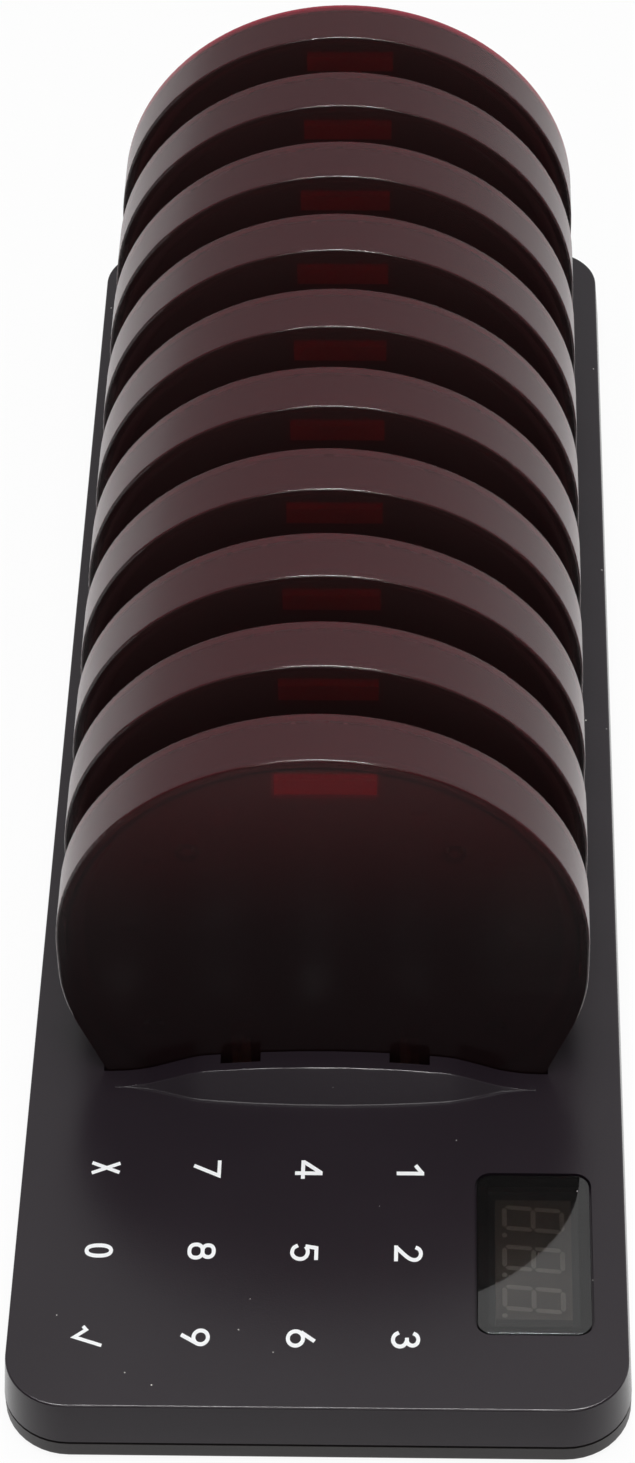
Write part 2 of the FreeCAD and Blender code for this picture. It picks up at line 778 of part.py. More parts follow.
def ribbon_cable():
    """Flat cable that steps down from the control board to the charging board."""
    near = front_y + control_board_rear - cable_margin
    far = cable_far_y()
    high = control_board_top + cable_connector_size[2] / 2
    low = charging_board_top + cable_connector_size[2] / 2
    path = [(near, high), (near + cable_margin, high), (far - cable_margin / 2, low), (far, low)]
    underside = [(y, z - cable_thickness) for y, z in reversed(path)]
    return prism(path + underside, -cable_width / 2, cable_width / 2)


def radio_module():
    """Small transmitter board with its screening can, beside the display."""
    x = window_x - radio_offset_x
    y = front_y + window_y + window_length / 2 + radio_offset_y
    can_z = control_board_top + radio_board_size[2]
    return [block_on(radio_board_size, x, y, control_board_top), block_on(radio_can_size, x, y, can_z)]


def antenna_wire():
    """Stiff insulated wire: up from the control board, then back along the side of the slots."""
    tub_side = taper_x(slot_side_clearance + slot_wall, 0)
    x = -(tub_side + (boss_x - boss_radius - tub_side) / 2)
    start = front_y + control_board_rear - antenna_inset
    bend = antenna_bend_radius
    level = control_board_top + antenna_height
    lift = V(x, start, control_board_top)
    corner_low = V(x, start, level - bend)
    share = bend * (1 - math.sqrt(0.5))
    corner_mid = V(x, start + share, level - share)
    corner_far = V(x, start + bend, level)
    end = V(x, start + antenna_length, level)
    path = Part.Wire([
        Part.LineSegment(lift, corner_low).toShape(),
        Part.Arc(corner_low, corner_mid, corner_far).toShape(),
        Part.LineSegment(corner_far, end).toShape(),
    ])
    ring = Part.Wire([Part.makeCircle(antenna_radius, lift, V(0, 0, 1))])
    return path.makePipeShell([ring], True, False)


# ---- inlet and switch ------------------------------------------------------------------------------
def inlet_middle_z():
    return charging_board_top + inlet_size / 2 + inlet_axis_lift


def switch_middle_z():
    return charging_board_top + switch_height / 2


def slider_opening(y0, y1):
    """Space for the slider over its whole travel."""
    half_width = (slider_width + switch_travel) / 2 + slider_gap
    half_height = slider_height / 2 + slider_gap
    middle = switch_middle_z()
    return box(switch_x - half_width, switch_x + half_width, y0, y1,
               middle - half_height, middle + half_height)


def power_inlet():
    """Barrel socket: block on the board, nose through the rear wall, centre pin in its bore."""
    front = rear_y - side_wall - inlet_nose_gap
    middle = inlet_middle_z()
    half = inlet_size / 2
    block = box(inlet_x - half, inlet_x + half, front - inlet_depth, front,
                charging_board_top, charging_board_top + inlet_size)
    nose_end = rear_skin_y(middle + inlet_nose_radius) - inlet_nose_gap
    nose = rod(inlet_nose_radius, inlet_x, middle, front - inlet_depth / 2, nose_end)
    body = block.fuse(nose)
    bore_end = nose_end - inlet_bore_depth
    body = body.cut(rod(inlet_bore_radius, inlet_x, middle, bore_end, nose_end + cut_overrun))
    pin = rod(inlet_pin_radius, inlet_x, middle, bore_end, nose_end - inlet_pin_recess)
    return [body, pin]


def power_switch_body():
    """Slide switch behind the rear wall, open at the rear for its slider."""
    front = rear_y - side_wall - inlet_nose_gap
    half = switch_width / 2
    body = box(switch_x - half, switch_x + half, front - switch_depth, front,
               charging_board_top, charging_board_top + switch_height)
    return body.cut(slider_opening(front - switch_depth + switch_back_wall, front + cut_overrun))


def power_switch_slider():
    """Slider at the off end of its travel, with three grip grooves."""
    front = rear_y - side_wall - inlet_nose_gap - switch_depth + switch_back_wall + slider_gap
    left = switch_x - (slider_width + switch_travel) / 2
    middle = switch_middle_z()
    end = rear_skin_y(middle + slider_height / 2) - slider_recess
    slider = box(left, left + slider_width, front, end,
                 middle - slider_height / 2, middle + slider_height / 2)
    for step in (-1, 0, 1):
        x = left + slider_width / 2 + step * grip_groove_pitch
        slider = slider.cut(box(x - grip_groove_half_width, x + grip_groove_half_width,
                                end - grip_groove_depth, end + cut_overrun,
                                middle - slider_height, middle + slider_height))
    return slider


# ---- charging contacts -----------------------------------------------------------------------------
def contact_spring(side, index):
    """Bowed leaf that stands in a notch and reaches up to the pager's contact."""
    back = contact_back_gap - notch_depth
    bow = -contact_gap - contact_thickness
    middle = -slot_depth / 2
    foot = charging_board_top - top_z + contact_foot_gap
    points = [(back, foot), (back, -slot_depth + contact_bow_half), (bow, middle - contact_bow_half),
              (bow, middle + contact_bow_half), (back, contact_tip - contact_bow_half), (back, contact_tip)]
    front_side = [(y + contact_thickness, z) for y, z in reversed(points)]
    leaf = prism(points + front_side, side - contact_width / 2, side + contact_width / 2)
    return lean(leaf, index)


def charging_contacts():
    sides = (-contact_x, contact_x)
    return [contact_spring(side, index) for index in range(pager_count) for side in sides]


# ---- pager shells ----------------------------------------------------------------------------------
def pager_screw_bores(start, end):
    """Clearance for the four screws between two depths from the front face."""
    bore = pager_screw_radius + screw_bore_gap
    return [rod(bore, x, z, start, end) for x, z in screw_places()]


def pager_front_shell():
    """Deep cup: front face, full rim, a ledge for the rear cover and four screw bosses."""
    body = pager_prism(0, 0, pager_thickness, pager_bottom)
    rims = edges_at(body, "Y", 0) + edges_at(body, "Y", pager_thickness)
    body = body.makeFillet(pager_edge_round, rims)
    rear = pager_thickness + cut_overrun
    hollow = pager_prism(pager_side_wall, pager_front_wall, rear, pager_bottom + pager_side_wall)
    step = pager_side_wall - pager_cover_ledge
    rebate = pager_prism(step, pager_cover_front, rear, pager_bottom + step)
    shell = body.cut([hollow, rebate])
    root = pager_front_wall / 2
    shell = shell.fuse([rod(pager_boss_radius, x, z, root, pager_board_front) for x, z in screw_places()])
    removed = pager_screw_bores(pager_front_wall, pager_board_rear)
    half = contact_width / 2 + pager_cover_gap
    low = pager_pad_bottom() - pager_cover_gap
    high = pager_pad_bottom() + contact_pad_height + pager_cover_gap
    for side in (-contact_x, contact_x):
        removed.append(box(side - half, side + half, -cut_overrun, pager_front_wall, low, high))
    return shell.cut(removed).removeSplitter()


def pager_pad_bottom():
    """Lower edge of the pad that shows in the pager's front face."""
    return pager_bottom + pager_side_wall + pager_pad_lift


def pager_rear_cover():
    """Flat cover in the ledge, with four counterbored bosses that clamp the board."""
    inset = pager_side_wall - pager_cover_ledge + pager_cover_gap
    cover = pager_prism(inset, pager_cover_front, pager_thickness, pager_bottom + inset)
    root = pager_thickness - pager_screw_recess / 2
    cover = cover.fuse([rod(pager_boss_radius, x, z, pager_board_rear, root) for x, z in screw_places()])
    seat = pager_thickness - pager_screw_recess
    bore = pager_screw_head_radius + screw_bore_gap
    removed = pager_screw_bores(0, pager_thickness)
    removed += [rod(bore, x, z, seat, pager_thickness + cut_overrun) for x, z in screw_places()]
    return cover.cut(removed).removeSplitter()


# ---- pager works -----------------------------------------------------------------------------------
def pager_board():
    board = pager_prism(pager_board_inset, pager_board_front, pager_board_rear,
                        pager_bottom + pager_board_inset)
    return board.cut(pager_screw_bores(0, pager_thickness))


def light_at(x, z):
    """One diode on the front of the pager's board."""
    half = led_size / 2
    return box(x - half, x + half, pager_board_front - led_height, pager_board_front, z - half, z + half)


def pager_lights():
    """Light window near the top and the diodes round the board's front."""
    half = light_window_width / 2
    half_height = light_window_height / 2
    rear = pager_board_front - led_height
    lights = [box(light_window_x - half, light_window_x + half, rear - light_window_depth, rear,
                  light_window_middle - half_height, light_window_middle + half_height)]
    for x in (light_window_x - half / 2, light_window_x + half / 2):
        lights.append(light_at(x, light_window_middle))
    for angle in led_ring_angles:
        x = led_ring_radius * math.cos(math.radians(angle))
        lights.append(light_at(x, pager_centre_height + led_ring_radius * math.sin(math.radians(angle))))
    return lights


def pager_contact(side):
    """Metal strip behind the front face, with a pad through it and a leg to the board."""
    half = contact_width / 2
    pad_low = pager_pad_bottom()
    pad = box(side - half, side + half, 0, pager_front_wall, pad_low, pad_low + contact_pad_height)
    strip = box(side - half, side + half, pager_front_wall, pager_front_wall + contact_strip_thickness,
                pad_low, contact_strip_top)
    leg = box(side - half, side + half, pager_front_wall, pager_board_front,
              contact_strip_top - contact_strip_thickness, contact_strip_top)
    return pad.fuse([strip, leg]).removeSplitter()


def pager_screw(x, z):
    seat = pager_thickness - pager_screw_recess
    head = rod(pager_screw_head_radius, x, z, seat, seat + pager_screw_head_height)
    head = head.cut(box(x - slot_drive_reach, x + slot_drive_reach, seat + pager_screw_head_height / 2,
                        pager_thickness, z - slot_drive_half_width, z + slot_drive_half_width))
    return head.fuse(rod(pager_screw_radius, x, z, seat - pager_screw_length, seat))


def motor_body():
    """Motor can on its axis across the pager, with a bearing bore for the shaft."""
    can = cross_rod(motor_radius, motor_y, motor_z, motor_end_x - motor_length, motor_end_x)
    return can.cut(cross_rod(motor_shaft_radius + motor_shaft_gap, motor_y, motor_z,
                             motor_end_x - motor_shaft_seat, motor_end_x + cut_overrun))


def motor_cradle():
    """Rubber cradle between the board and the motor can."""
    half = motor_radius + cradle_wall
    start = motor_end_x - motor_length
    cradle = box(start + cradle_end_inset, motor_end_x - cradle_end_inset, pager_board_rear, motor_y,
                 motor_z - half, motor_z + half)
    return cradle.cut(cross_rod(motor_radius, motor_y, motor_z, start, motor_end_x))


def motor_weight():
    """Shaft and half-round weight, hanging heavy side down."""
    start = motor_end_x + weight_end_gap
    end = start + weight_length
    sector = cross_rod(weight_radius, motor_y, motor_z, start, end)
    sector = sector.cut(box(start, end, motor_y - weight_radius, motor_y + weight_radius,
                            motor_z, motor_z + weight_radius))
    weight = sector.fuse(cross_rod(weight_hub_radius, motor_y, motor_z, start, end))
    weight = weight.cut(cross_rod(motor_shaft_radius, motor_y, motor_z, start, end))
    shaft_start = motor_end_x - motor_shaft_seat * (1 - shaft_end_share)
    shaft = cross_rod(motor_shaft_radius, motor_y, motor_z, shaft_start, end + weight_shaft_end)
    return [weight.removeSplitter(), shaft]


def battery():
    """Flat cell with its upright edges rounded."""
    low = battery_middle - battery_height / 2
    cell = box(-battery_width / 2, battery_width / 2, pager_board_rear, pager_board_rear + battery_thickness,
               low, low + battery_height)
    upright = [edge for edge in cell.Edges if edge.BoundBox.ZLength > battery_height / 2]
    return cell.makeFillet(battery_edge_round, upright)


def pager_works():
    """Everything fixed inside a pager, piece by piece."""
    rear = pager_board_rear
    works = [pager_board(), battery(), motor_body(), motor_cradle()]
    works += pager_lights()
    works += [pager_contact(side) for side in (-contact_x, contact_x)]
    works += [pager_screw(x, z) for x, z in screw_places()]
    works.append(rod(buzzer_radius, buzzer_x, buzzer_z, rear, rear + buzzer_height))
    for width, thickness, height, x, z in (pager_chip, pager_radio_can, pager_crystal):
        works.append(box(x - width / 2, x + width / 2, rear, rear + thickness,
                         z - height / 2, z + height / 2))
    return works


# ---- writing the sub-parts -------------------------------------------------------------------------
def leaned_group(solids, index):
    return [lean(solid, index) for solid in solids]


def main():
    os.makedirs("parts", exist_ok=True)
    save("base_top_shell", base_top_shell())
    save("base_bottom_shell", base_bottom_shell())
    save("housing_screws", housing_screws())
    save("rubber_feet", rubber_feet())
    save("display_window", display_window())
    save("display_module", display_module())
    save("display_segments", segment_solids(segment_proud))
    save("control_board", control_board())
    save("control_board_parts", control_board_parts())
    save("radio_module", radio_module())
    save("antenna_wire", antenna_wire())
    save("touch_pads", touch_pads())
    save("board_screws", board_screws())
    save("ribbon_cable", ribbon_cable())
    save("charging_board", charging_board())
    save("charging_contacts", charging_contacts())
    save("power_inlet", power_inlet())
    save("power_switch_body", power_switch_body())
    save("power_switch_slider", power_switch_slider())
    front_shell = pager_front_shell()
    rear_cover = pager_rear_cover()
    works = pager_works()
    weight = motor_weight()
    for index in range(pager_count):
        name = "pager_%02d_" % (index + 1)
        save(name + "front_shell", lean(front_shell, index))
        save(name + "rear_cover", lean(rear_cover, index))
        save(name + "works", leaned_group(works, index))
        save(name + "motor_weight", leaned_group(weight, index))


main()
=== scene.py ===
import bpy
import bmesh
import math
from mathutils import Matrix, Vector


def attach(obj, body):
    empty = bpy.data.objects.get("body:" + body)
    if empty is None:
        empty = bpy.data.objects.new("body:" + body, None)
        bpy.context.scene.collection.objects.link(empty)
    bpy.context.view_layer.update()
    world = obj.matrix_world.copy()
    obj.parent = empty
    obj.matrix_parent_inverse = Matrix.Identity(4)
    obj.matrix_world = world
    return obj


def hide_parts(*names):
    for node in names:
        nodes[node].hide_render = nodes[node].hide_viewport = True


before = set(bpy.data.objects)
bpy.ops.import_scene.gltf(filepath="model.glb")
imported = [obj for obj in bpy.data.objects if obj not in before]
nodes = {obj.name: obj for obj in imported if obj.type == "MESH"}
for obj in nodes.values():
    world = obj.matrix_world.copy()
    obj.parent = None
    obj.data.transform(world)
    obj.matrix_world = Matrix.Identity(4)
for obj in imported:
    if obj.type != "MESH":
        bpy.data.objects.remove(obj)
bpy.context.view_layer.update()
mm = 0.001


# ==== Camera and table ==============================================================================
# The device stands on a plain white table and is seen from above its keypad, a little to its right.
# The camera looks along the row of pagers with a long lens.
camera_place = Vector((25.718, -639.505, 694.252)) * mm
camera_pitch = 0.80978
camera_yaw = -0.03767
camera_roll = 0.02140
camera_lens = 100.50
camera_shift = (-0.0172, 0.0036)
sensor_long_side = 36.0

forward = Vector((math.sin(camera_yaw) * math.cos(camera_pitch),
                  math.cos(camera_yaw) * math.cos(camera_pitch), -math.sin(camera_pitch)))
level_right = Vector((math.cos(camera_yaw), -math.sin(camera_yaw), 0.0))
level_down = forward.cross(level_right)
right = math.cos(camera_roll) * level_right + math.sin(camera_roll) * level_down
down = math.cos(camera_roll) * level_down - math.sin(camera_roll) * level_right
turn = Matrix((right, -down, -forward)).transposed().to_4x4()
camera_data = bpy.data.cameras.new("camera")
camera_data.sensor_width = sensor_long_side
camera_data.lens = camera_lens
camera_data.shift_x, camera_data.shift_y = camera_shift
camera_data.clip_start = 0.01
camera = bpy.data.objects.new("camera", camera_data)
camera.matrix_world = Matrix.Translation(camera_place) @ turn
bpy.context.scene.collection.objects.link(camera)
bpy.context.scene.camera = camera
bpy.context.scene.view_settings.view_transform = "Standard"


def put(tree, kind, settings=None, **inputs):
    """Adds a shader node. An input given a socket is linked to it, anything else becomes its value."""
    made = tree.nodes.new(kind)
    for name, value in (settings or {}).items():
        setattr(made, name, value)
    for name, value in inputs.items():
        socket = made.inputs[name.replace("_", " ")]
        if isinstance(value, bpy.types.NodeSocket):
            tree.links.new(value, socket)
        else:
            socket.default_value = value
    return made


def reckon(tree, operation, *values, clamp=False):
    """Adds a Math node and gives its output."""
    made = tree.nodes.new("ShaderNodeMath")
    made.operation = operation
    made.use_clamp = clamp
    for socket, value in zip(made.inputs, values):
        if isinstance(value, bpy.types.NodeSocket):
            tree.links.new(value, socket)
        else:
            socket.default_value = value
    return made.outputs[0]


def blend_colours(tree, share, first, second):
    """Mixes two colours by a mask."""
    made = put(tree, "ShaderNodeMix", {"data_type": "RGBA"})
    tree.links.new(share, made.inputs[0])
    for socket, value in ((made.inputs[6], first), (made.inputs[7], second)):
        if isinstance(value, bpy.types.NodeSocket):
            tree.links.new(value, socket)
        else:
            socket.default_value = (*value, 1.0)
    return made.outputs[2]


def ramp(tree, value, start, end, top=1.0):
    """0 before the start, the top value past the end and a soft change between."""
    made = put(tree, "ShaderNodeMapRange", {"interpolation_type": "SMOOTHSTEP"}, Value=value,
               From_Min=start, From_Max=end, To_Min=0.0, To_Max=top)
    return made.outputs[0]


def empty_material(name):
    """A new material with an empty node tree, and that tree."""
    made = bpy.data.materials.new(name)
    made.use_nodes = True
    made.node_tree.nodes.clear()
    return made, made.node_tree


def seen_as_backdrop(tree):
    """1 for rays that show the surroundings themselves, in the picture, in gloss or through glass."""
    path = put(tree, "ShaderNodeLightPath")
    seen = reckon(tree, "MAXIMUM", path.outputs["Is Camera Ray"], path.outputs["Is Glossy Ray"])
    return reckon(tree, "MAXIMUM", seen, path.outputs["Is Transmission Ray"])


table_half = 12.0
table_colour = (0.86, 0.86, 0.86)
table_fleck_colour = (0.8772, 0.8772, 0.8772)
table_flecks_per_metre = 900.0
table_own_white = 0.92
# Gloss sees the table darker in front of the device, where the tent is open.
gloss_in_front = 0.20
gloss_front_edge = -0.245
gloss_rear_edge = -0.165
white = (1.0, 1.0, 1.0, 1.0)
table, tree = empty_material("white_table")
paper = put(tree, "ShaderNodeTexNoise", Scale=table_flecks_per_metre, Detail=2.0)
sheet = put(tree, "ShaderNodeBsdfDiffuse", Roughness=0.4)
sheet_colour = blend_colours(tree, paper.outputs["Fac"], table_colour, table_fleck_colour)
tree.links.new(sheet_colour, sheet.inputs["Color"])
place = put(tree, "ShaderNodeSeparateXYZ", Vector=put(tree, "ShaderNodeTexCoord").outputs["Object"])
shade = ramp(tree, place.outputs[1], gloss_rear_edge, gloss_front_edge, 1.0 - gloss_in_front)
mirrored = put(tree, "ShaderNodeLightPath").outputs["Is Glossy Ray"]
level = reckon(tree, "SUBTRACT", 1.0, reckon(tree, "MULTIPLY", mirrored, shade))
glow = put(tree, "ShaderNodeEmission", Color=white, Strength=level)
share = reckon(tree, "MULTIPLY", seen_as_backdrop(tree), table_own_white)
mixed = put(tree, "ShaderNodeMixShader", Fac=share)
tree.links.new(sheet.outputs[0], mixed.inputs[1])
tree.links.new(glow.outputs[0], mixed.inputs[2])
tree.links.new(mixed.outputs[0], put(tree, "ShaderNodeOutputMaterial").inputs["Surface"])
table_corners = [(x * table_half, y * table_half, 0.0) for x, y in ((-1, -1), (1, -1), (1, 1), (-1, 1))]
table_mesh = bpy.data.meshes.new("white_table")
table_mesh.from_pydata(table_corners, [], [(0, 1, 2, 3)])
table_mesh.materials.append(table)
table_object = bpy.data.objects.new("white_table", table_mesh)
bpy.context.scene.collection.objects.link(table_object)


# ==== Studio light ==================================================================================
# A white tent of even light with a soft box over the keypad, and two strips that show only as the fine
# bright lines along rounded edges. Gloss sees the tent dimmer at its open front, low at its rear and on its
# left side, and clear plastic sees it dimmer toward its roof.
def spread(tree, value, low, high):
    """Stretches a value between 0 and 1 to a range."""
    return reckon(tree, "MULTIPLY_ADD", value, high - low, low)


tent_light = 0.45
tent_seen = 1.0
tent_opening = (0.35, -0.15)
tent_rear = (0.66, 0.88)
tent_rear_dimmed = 0.42
tent_roof = (0.15, 0.6)
tent_roof_through_plastic = 0.62
tent_slant = 0.32

world = bpy.data.worlds.new("tent")
bpy.context.scene.world = world
world.use_nodes = True
tree = world.node_tree
tree.nodes.clear()
way = put(tree, "ShaderNodeSeparateXYZ", Vector=put(tree, "ShaderNodeTexCoord").outputs["Generated"])
way_x, way_y, way_z = way.outputs
path = put(tree, "ShaderNodeLightPath")
mirrored = path.outputs["Is Glossy Ray"]
through = path.outputs["Is Transmission Ray"]
opening = ramp(tree, way_y, *tent_opening, tent_seen - gloss_in_front)
rear = ramp(tree, way_y, *tent_rear, tent_rear_dimmed)
dimmed = reckon(tree, "MULTIPLY", mirrored, reckon(tree, "ADD", opening, rear))
strength = reckon(tree, "SUBTRACT", spread(tree, seen_as_backdrop(tree), tent_light, tent_seen), dimmed)
slant = reckon(tree, "MULTIPLY_ADD", reckon(tree, "MULTIPLY", mirrored, way_x), tent_slant, 1.0)
strength = reckon(tree, "MULTIPLY", strength, slant)
roof = ramp(tree, way_z, *tent_roof, 1.0 - tent_roof_through_plastic)
left_of_roof = reckon(tree, "SUBTRACT", 1.0, reckon(tree, "MULTIPLY", through, roof))
strength = reckon(tree, "MULTIPLY", strength, left_of_roof)
tent = put(tree, "ShaderNodeBackground", Color=white, Strength=strength)
tree.links.new(tent.outputs[0], put(tree, "ShaderNodeOutputWorld").inputs["Surface"])


def hang_lamp(name, place, target, width, length, power):
    """Hangs a rectangular soft lamp at a place, turned to a target."""
    lamp = bpy.data.lights.new(name, "AREA")
    lamp.shape = "RECTANGLE"
    lamp.size = width
    lamp.size_y = length
    lamp.energy = power
    place = Vector(place)
    aim = (Vector(target) - place).to_track_quat("-Z", "Y")
    made = bpy.data.objects.new(name, lamp)
    made.matrix_world = Matrix.Translation(place) @ aim.to_matrix().to_4x4()
    bpy.context.scene.collection.objects.link(made)
    return made


soft_box = hang_lamp("soft_box", place=(0.03, -0.28, 1.10), target=(0.0, -0.05, 0.05),
                     width=0.36, length=0.75, power=8.0)
soft_box.visible_glossy = False
high_strip = hang_lamp("high_strip", place=(0.0, -0.04, 1.06), target=(0.0, -0.04, 0.06),
                       width=0.62, length=0.14, power=15.0)
low_strip = hang_lamp("low_strip", place=(0.0, -1.12, 0.80), target=(0.0, -0.10, 0.06),
                      width=1.0, length=0.30, power=6.0)
for strip in (high_strip, low_strip):
    strip.visible_diffuse = False
    strip.visible_transmission = False


# ==== Base casing ===================================================================================
# Two halves moulded in charcoal ABS with a fine spark-eroded finish, screwed together from below.
# The upper half carries the ridges and the slots, the lower half is a shallow tray.
def new_group(name, inputs, outputs):
    """An empty shader node group, from its inputs with their usual values and its outputs, all numbers."""
    group = bpy.data.node_groups.new(name, "ShaderNodeTree")
    for label, value in inputs:
        socket = group.interface.new_socket(label, in_out="INPUT", socket_type="NodeSocketFloat")
        socket.default_value = value
    for label in outputs:
        group.interface.new_socket(label, in_out="OUTPUT", socket_type="NodeSocketFloat")
    return group, group.nodes.new("NodeGroupInput"), group.nodes.new("NodeGroupOutput")


# Moulded grain: the fine pitted skin of a spark-eroded tool, as a height and a faint tone.
grain_group, given, result = new_group(
    "moulded_grain", [("Pits per Metre", 2600.0), ("Cloud per Metre", 30.0)], ["Height", "Cloud"])
place = put(grain_group, "ShaderNodeTexCoord")
pits = put(grain_group, "ShaderNodeTexNoise", Vector=place.outputs["Object"],
           Scale=given.outputs["Pits per Metre"], Detail=3.0, Roughness=0.6)
cloud = put(grain_group, "ShaderNodeTexNoise", Vector=place.outputs["Object"],
            Scale=given.outputs["Cloud per Metre"], Detail=4.0, Roughness=0.55)
grain_group.links.new(pits.outputs["Fac"], result.inputs["Height"])
grain_group.links.new(cloud.outputs["Fac"], result.inputs["Cloud"])

# Settled dust: sparse pale specks that lie on the faces that look up. Share says how many of the places
# for a speck hold one, and the size is a part of the distance between places.
dust_colour = (0.58, 0.56, 0.54)
dust_least_rise = 0.2
dust_group, given, result = new_group(
    "settled_dust", [("Specks per Metre", 180.0), ("Speck Size", 0.034), ("Share", 0.06)], ["Mask"])
place = put(dust_group, "ShaderNodeTexCoord")
cells = put(dust_group, "ShaderNodeTexVoronoi", Vector=place.outputs["Object"],
            Scale=given.outputs["Specks per Metre"], Randomness=1.0)
chance = put(dust_group, "ShaderNodeSeparateColor", Color=cells.outputs["Color"])
chosen = reckon(dust_group, "LESS_THAN", chance.outputs[0], given.outputs["Share"])
near = reckon(dust_group, "LESS_THAN", cells.outputs["Distance"], given.outputs["Speck Size"])
facing = put(dust_group, "ShaderNodeSeparateXYZ", Vector=place.outputs["Normal"])
rise = reckon(dust_group, "SUBTRACT", facing.outputs[2], dust_least_rise)
upward = reckon(dust_group, "MULTIPLY", rise, 2.0, clamp=True)
mask = reckon(dust_group, "MULTIPLY", reckon(dust_group, "MULTIPLY", chosen, near), upward)
dust_group.links.new(mask, result.inputs["Mask"])
grain_depth = 0.0002


def plastic(name, colour, roughness, pits=2600.0, depth=0.02, dust=0.0, variation=0.12, upper=1.0, **sockets):
    """Moulded plastic: grain in its normal, a cloudy change of tone and gloss, and dust on top. Depth is how
    strongly the grain shows, and upper the share of its tone left on faces that look up, a painted shade that
    darkens their tops."""
    made, tree = empty_material(name)
    grain = put(tree, "ShaderNodeGroup", {"node_tree": grain_group}, Pits_per_Metre=pits)
    cloud = grain.outputs["Cloud"]
    tone = blend_colours(tree, cloud, [c * (1 - variation) for c in colour],
                         [c * (1 + variation) for c in colour])
    # Painted shade: faces that look up keep only the upper share of the tone.
    if upper < 1.0:
        facing = put(tree, "ShaderNodeSeparateXYZ", Vector=put(tree, "ShaderNodeTexCoord").outputs["Normal"])
        raised = reckon(tree, "MULTIPLY", facing.outputs[2], 1.0, clamp=True)
        tone = blend_colours(tree, raised, tone, [c * upper for c in colour])
    if dust:
        specks = put(tree, "ShaderNodeGroup", {"node_tree": dust_group}, Share=dust)
        tone = blend_colours(tree, specks.outputs["Mask"], tone, dust_colour)
    rough = spread(tree, cloud, roughness * 0.92, roughness * 1.08)
    bump = put(tree, "ShaderNodeBump", Strength=depth, Distance=grain_depth, Height=grain.outputs["Height"])
    shader = put(tree, "ShaderNodeBsdfPrincipled", Base_Color=tone, Roughness=rough,
                 Normal=bump.outputs[0], **sockets)
    tree.links.new(shader.outputs[0], put(tree, "ShaderNodeOutputMaterial").inputs["Surface"])
    return made


def finish_node(name, material):
    """Gives a carried-over CAD node its finish."""
    node = nodes[name]
    for index in range(len(node.material_slots)):
        node.material_slots[index].material = material


casing_colour = (0.0140, 0.0095, 0.0135)
tray_colour = (0.0175, 0.0145, 0.0150)
casing = plastic("charcoal_casing", casing_colour, 0.22, depth=0.10, dust=0.55, IOR=1.40)
tray = plastic("charcoal_tray", tray_colour, 0.42, depth=0.12, IOR=1.40)
finish_node("base_top_shell", casing)
finish_node("base_bottom_shell", tray)


# ==== Key legends ===================================================================================
# Twelve signs of white ink on the keypad, a cross, a tick and the ten digits, read from the left side.
# Each is a stroke of ink a few hundredths of a millimetre thick.
keypad_top = 16.8
ink_thickness = 0.03
pen_across = 0.94
pen_up = 0.79
sharpest_mitre = 0.35


def oval(centre, reach, power=2.0, steps=40):
    """Closed oval through which the pen runs. A power above 2 squares it off."""
    points = []
    for step in range(steps):
        angle = 2 * math.pi * step / steps
        c, s = math.cos(angle), math.sin(angle)
        points.append((centre[0] + reach[0] * math.copysign(abs(c) ** (2 / power), c),
                       centre[1] + reach[1] * math.copysign(abs(s) ** (2 / power), s)))
    return points


def smooth(points, steps=8):
    """Points along a curve that passes smoothly through the given ones."""
    line = []
    padded = [points[0]] + list(points) + [points[-1]]
    for a, b, c, d in zip(padded, padded[1:], padded[2:], padded[3:]):
        for step in range(steps):
            t = step / steps
            line.append(tuple(0.5 * (2 * q + (r - p) * t + (2 * p - 5 * q + 4 * r - s) * t * t
                                     + (3 * q - p - 3 * r + s) * t ** 3)
                              for p, q, r, s in zip(a, b, c, d)))
    return line + [points[-1]]


